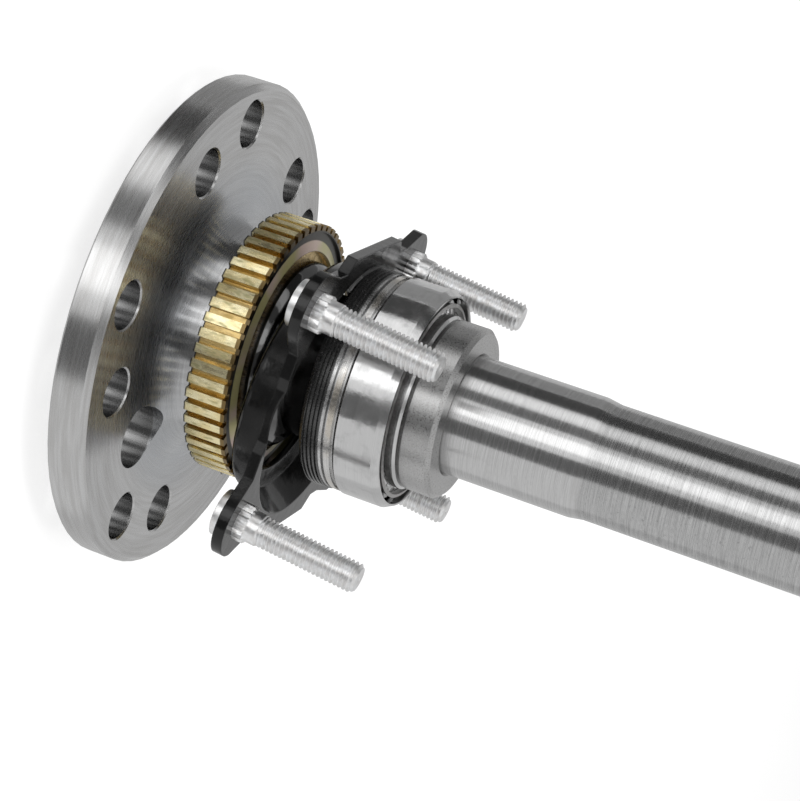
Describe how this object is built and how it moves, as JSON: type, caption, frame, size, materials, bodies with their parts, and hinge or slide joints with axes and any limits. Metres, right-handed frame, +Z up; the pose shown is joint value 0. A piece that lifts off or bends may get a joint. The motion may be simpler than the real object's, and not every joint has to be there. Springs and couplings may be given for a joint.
{
  "type": "rear axle shaft",
  "caption": "Semi-floating rear axle shaft with drilled wheel flange, tone ring, retainer plate with studs, lip seal, tapered roller bearing, press collar and splined end.",
  "frame": {"origin": "centre of the wheel flange's outboard face, on the shaft's axis", "axes": "+Z along the shaft from the flange towards the splined end; the shaft stands on its pilot end with +Z up"},
  "size_m": [0.165, 0.165, 0.8223],
  "materials": {
    "shaft_steel": "turned and ground steel",
    "ring_zinc": "yellow zinc plate",
    "plate_black": "gloss black oxide",
    "stud_zinc": "bright zinc plate",
    "seal_steel": "bright stamped steel",
    "seal_rubber": "black moulded rubber",
    "spring_steel": "spring steel",
    "band_steel": "steel with a light brass tint",
    "bearing_steel": "ground bearing steel",
    "cage_steel": "pressed steel",
    "collar_steel": "matte turned steel"
  },
  "bodies": {
    "shaft": {"axle_shaft": "shaft_steel", "tone_ring": "ring_zinc", "bearing_cone": "bearing_steel", "retaining_collar": "collar_steel"},
    "retainer": {"retainer_plate": "plate_black", "retainer_stud_1": "stud_zinc", "retainer_stud_2": "stud_zinc", "retainer_stud_3": "stud_zinc", "retainer_stud_4": "stud_zinc"},
    "bearing_outer": {"bearing_cup": "bearing_steel", "spacer_ring": "band_steel", "seal_case": "seal_steel", "seal_rubber": "seal_rubber", "garter_spring": "spring_steel"},
    "cage": {"bearing_cage": "cage_steel"},
    "roller_01": {"bearing_roller_01": "bearing_steel"},
    "roller_02": {"bearing_roller_02": "bearing_steel"},
    "roller_03": {"bearing_roller_03": "bearing_steel"},
    "roller_04": {"bearing_roller_04": "bearing_steel"},
    "roller_05": {"bearing_roller_05": "bearing_steel"},
    "roller_06": {"bearing_roller_06": "bearing_steel"},
    "roller_07": {"bearing_roller_07": "bearing_steel"},
    "roller_08": {"bearing_roller_08": "bearing_steel"},
    "roller_09": {"bearing_roller_09": "bearing_steel"},
    "roller_10": {"bearing_roller_10": "bearing_steel"},
    "roller_11": {"bearing_roller_11": "bearing_steel"},
    "roller_12": {"bearing_roller_12": "bearing_steel"},
    "roller_13": {"bearing_roller_13": "bearing_steel"},
    "roller_14": {"bearing_roller_14": "bearing_steel"},
    "roller_15": {"bearing_roller_15": "bearing_steel"},
    "roller_16": {"bearing_roller_16": "bearing_steel"},
    "roller_17": {"bearing_roller_17": "bearing_steel"},
    "roller_18": {"bearing_roller_18": "bearing_steel"},
    "roller_19": {"bearing_roller_19": "bearing_steel"},
    "roller_20": {"bearing_roller_20": "bearing_steel"}
  },
  "joints": [
    {"name": "retainer_turn", "type": "hinge", "parent": "shaft", "child": "retainer", "pos_m": [0, 0, 0.05], "axis": [0, 0, 1], "continuous": true},
    {"name": "bearing_turn", "type": "hinge", "parent": "shaft", "child": "bearing_outer", "pos_m": [0, 0, 0.0825], "axis": [0, 0, 1], "continuous": true},
    {"name": "cage_turn", "type": "hinge", "parent": "shaft", "child": "cage", "pos_m": [0, 0, 0.0825], "axis": [0, 0, 1], "continuous": true},
    {"name": "roller_01_spin", "type": "hinge", "parent": "cage", "child": "roller_01", "pos_m": [0.0286, 0, 0.0825], "axis": [0.2284, 0, 0.9736], "continuous": true},
    {"name": "roller_02_spin", "type": "hinge", "parent": "cage", "child": "roller_02", "pos_m": [0.0272, 0.00884, 0.0825], "axis": [0.2172, 0.0706, 0.9736], "continuous": true},
    {"name": "roller_03_spin", "type": "hinge", "parent": "cage", "child": "roller_03", "pos_m": [0.02314, 0.01681, 0.0825], "axis": [0.1847, 0.1342, 0.9736], "continuous": true},
    {"name": "roller_04_spin", "type": "hinge", "parent": "cage", "child": "roller_04", "pos_m": [0.01681, 0.02314, 0.0825], "axis": [0.1342, 0.1847, 0.9736], "continuous": true},
    {"name": "roller_05_spin", "type": "hinge", "parent": "cage", "child": "roller_05", "pos_m": [0.00884, 0.0272, 0.0825], "axis": [0.0706, 0.2172, 0.9736], "continuous": true},
    {"name": "roller_06_spin", "type": "hinge", "parent": "cage", "child": "roller_06", "pos_m": [0, 0.0286, 0.0825], "axis": [0, 0.2284, 0.9736], "continuous": true},
    {"name": "roller_07_spin", "type": "hinge", "parent": "cage", "child": "roller_07", "pos_m": [-0.00884, 0.0272, 0.0825], "axis": [-0.0706, 0.2172, 0.9736], "continuous": true},
    {"name": "roller_08_spin", "type": "hinge", "parent": "cage", "child": "roller_08", "pos_m": [-0.01681, 0.02314, 0.0825], "axis": [-0.1342, 0.1847, 0.9736], "continuous": true},
    {"name": "roller_09_spin", "type": "hinge", "parent": "cage", "child": "roller_09", "pos_m": [-0.02314, 0.01681, 0.0825], "axis": [-0.1847, 0.1342, 0.9736], "continuous": true},
    {"name": "roller_10_spin", "type": "hinge", "parent": "cage", "child": "roller_10", "pos_m": [-0.0272, 0.00884, 0.0825], "axis": [-0.2172, 0.0706, 0.9736], "continuous": true},
    {"name": "roller_11_spin", "type": "hinge", "parent": "cage", "child": "roller_11", "pos_m": [-0.0286, 0, 0.0825], "axis": [-0.2284, 0, 0.9736], "continuous": true},
    {"name": "roller_12_spin", "type": "hinge", "parent": "cage", "child": "roller_12", "pos_m": [-0.0272, -0.00884, 0.0825], "axis": [-0.2172, -0.0706, 0.9736], "continuous": true},
    {"name": "roller_13_spin", "type": "hinge", "parent": "cage", "child": "roller_13", "pos_m": [-0.02314, -0.01681, 0.0825], "axis": [-0.1847, -0.1342, 0.9736], "continuous": true},
    {"name": "roller_14_spin", "type": "hinge", "parent": "cage", "child": "roller_14", "pos_m": [-0.01681, -0.02314, 0.0825], "axis": [-0.1342, -0.1847, 0.9736], "continuous": true},
    {"name": "roller_15_spin", "type": "hinge", "parent": "cage", "child": "roller_15", "pos_m": [-0.00884, -0.0272, 0.0825], "axis": [-0.0706, -0.2172, 0.9736], "continuous": true},
    {"name": "roller_16_spin", "type": "hinge", "parent": "cage", "child": "roller_16", "pos_m": [0, -0.0286, 0.0825], "axis": [0, -0.2284, 0.9736], "continuous": true},
    {"name": "roller_17_spin", "type": "hinge", "parent": "cage", "child": "roller_17", "pos_m": [0.00884, -0.0272, 0.0825], "axis": [0.0706, -0.2172, 0.9736], "continuous": true},
    {"name": "roller_18_spin", "type": "hinge", "parent": "cage", "child": "roller_18", "pos_m": [0.01681, -0.02314, 0.0825], "axis": [0.1342, -0.1847, 0.9736], "continuous": true},
    {"name": "roller_19_spin", "type": "hinge", "parent": "cage", "child": "roller_19", "pos_m": [0.02314, -0.01681, 0.0825], "axis": [0.1847, -0.1342, 0.9736], "continuous": true},
    {"name": "roller_20_spin", "type": "hinge", "parent": "cage", "child": "roller_20", "pos_m": [0.0272, -0.00884, 0.0825], "axis": [0.2172, -0.0706, 0.9736], "continuous": true}
  ],
  "couplings": [
    {"joint": "cage_turn", "follows": "bearing_turn", "ratio": 0.56317},
    {"joint": "roller_01_spin", "follows": "bearing_turn", "ratio": 3.7913},
    {"joint": "roller_02_spin", "follows": "bearing_turn", "ratio": 3.7913},
    {"joint": "roller_03_spin", "follows": "bearing_turn", "ratio": 3.7913},
    {"joint": "roller_04_spin", "follows": "bearing_turn", "ratio": 3.7913},
    {"joint": "roller_05_spin", "follows": "bearing_turn", "ratio": 3.7913},
    {"joint": "roller_06_spin", "follows": "bearing_turn", "ratio": 3.7913},
    {"joint": "roller_07_spin", "follows": "bearing_turn", "ratio": 3.7913},
    {"joint": "roller_08_spin", "follows": "bearing_turn", "ratio": 3.7913},
    {"joint": "roller_09_spin", "follows": "bearing_turn", "ratio": 3.7913},
    {"joint": "roller_10_spin", "follows": "bearing_turn", "ratio": 3.7913},
    {"joint": "roller_11_spin", "follows": "bearing_turn", "ratio": 3.7913},
    {"joint": "roller_12_spin", "follows": "bearing_turn", "ratio": 3.7913},
    {"joint": "roller_13_spin", "follows": "bearing_turn", "ratio": 3.7913},
    {"joint": "roller_14_spin", "follows": "bearing_turn", "ratio": 3.7913},
    {"joint": "roller_15_spin", "follows": "bearing_turn", "ratio": 3.7913},
    {"joint": "roller_16_spin", "follows": "bearing_turn", "ratio": 3.7913},
    {"joint": "roller_17_spin", "follows": "bearing_turn", "ratio": 3.7913},
    {"joint": "roller_18_spin", "follows": "bearing_turn", "ratio": 3.7913},
    {"joint": "roller_19_spin", "follows": "bearing_turn", "ratio": 3.7913},
    {"joint": "roller_20_spin", "follows": "bearing_turn", "ratio": 3.7913}
  ]
}
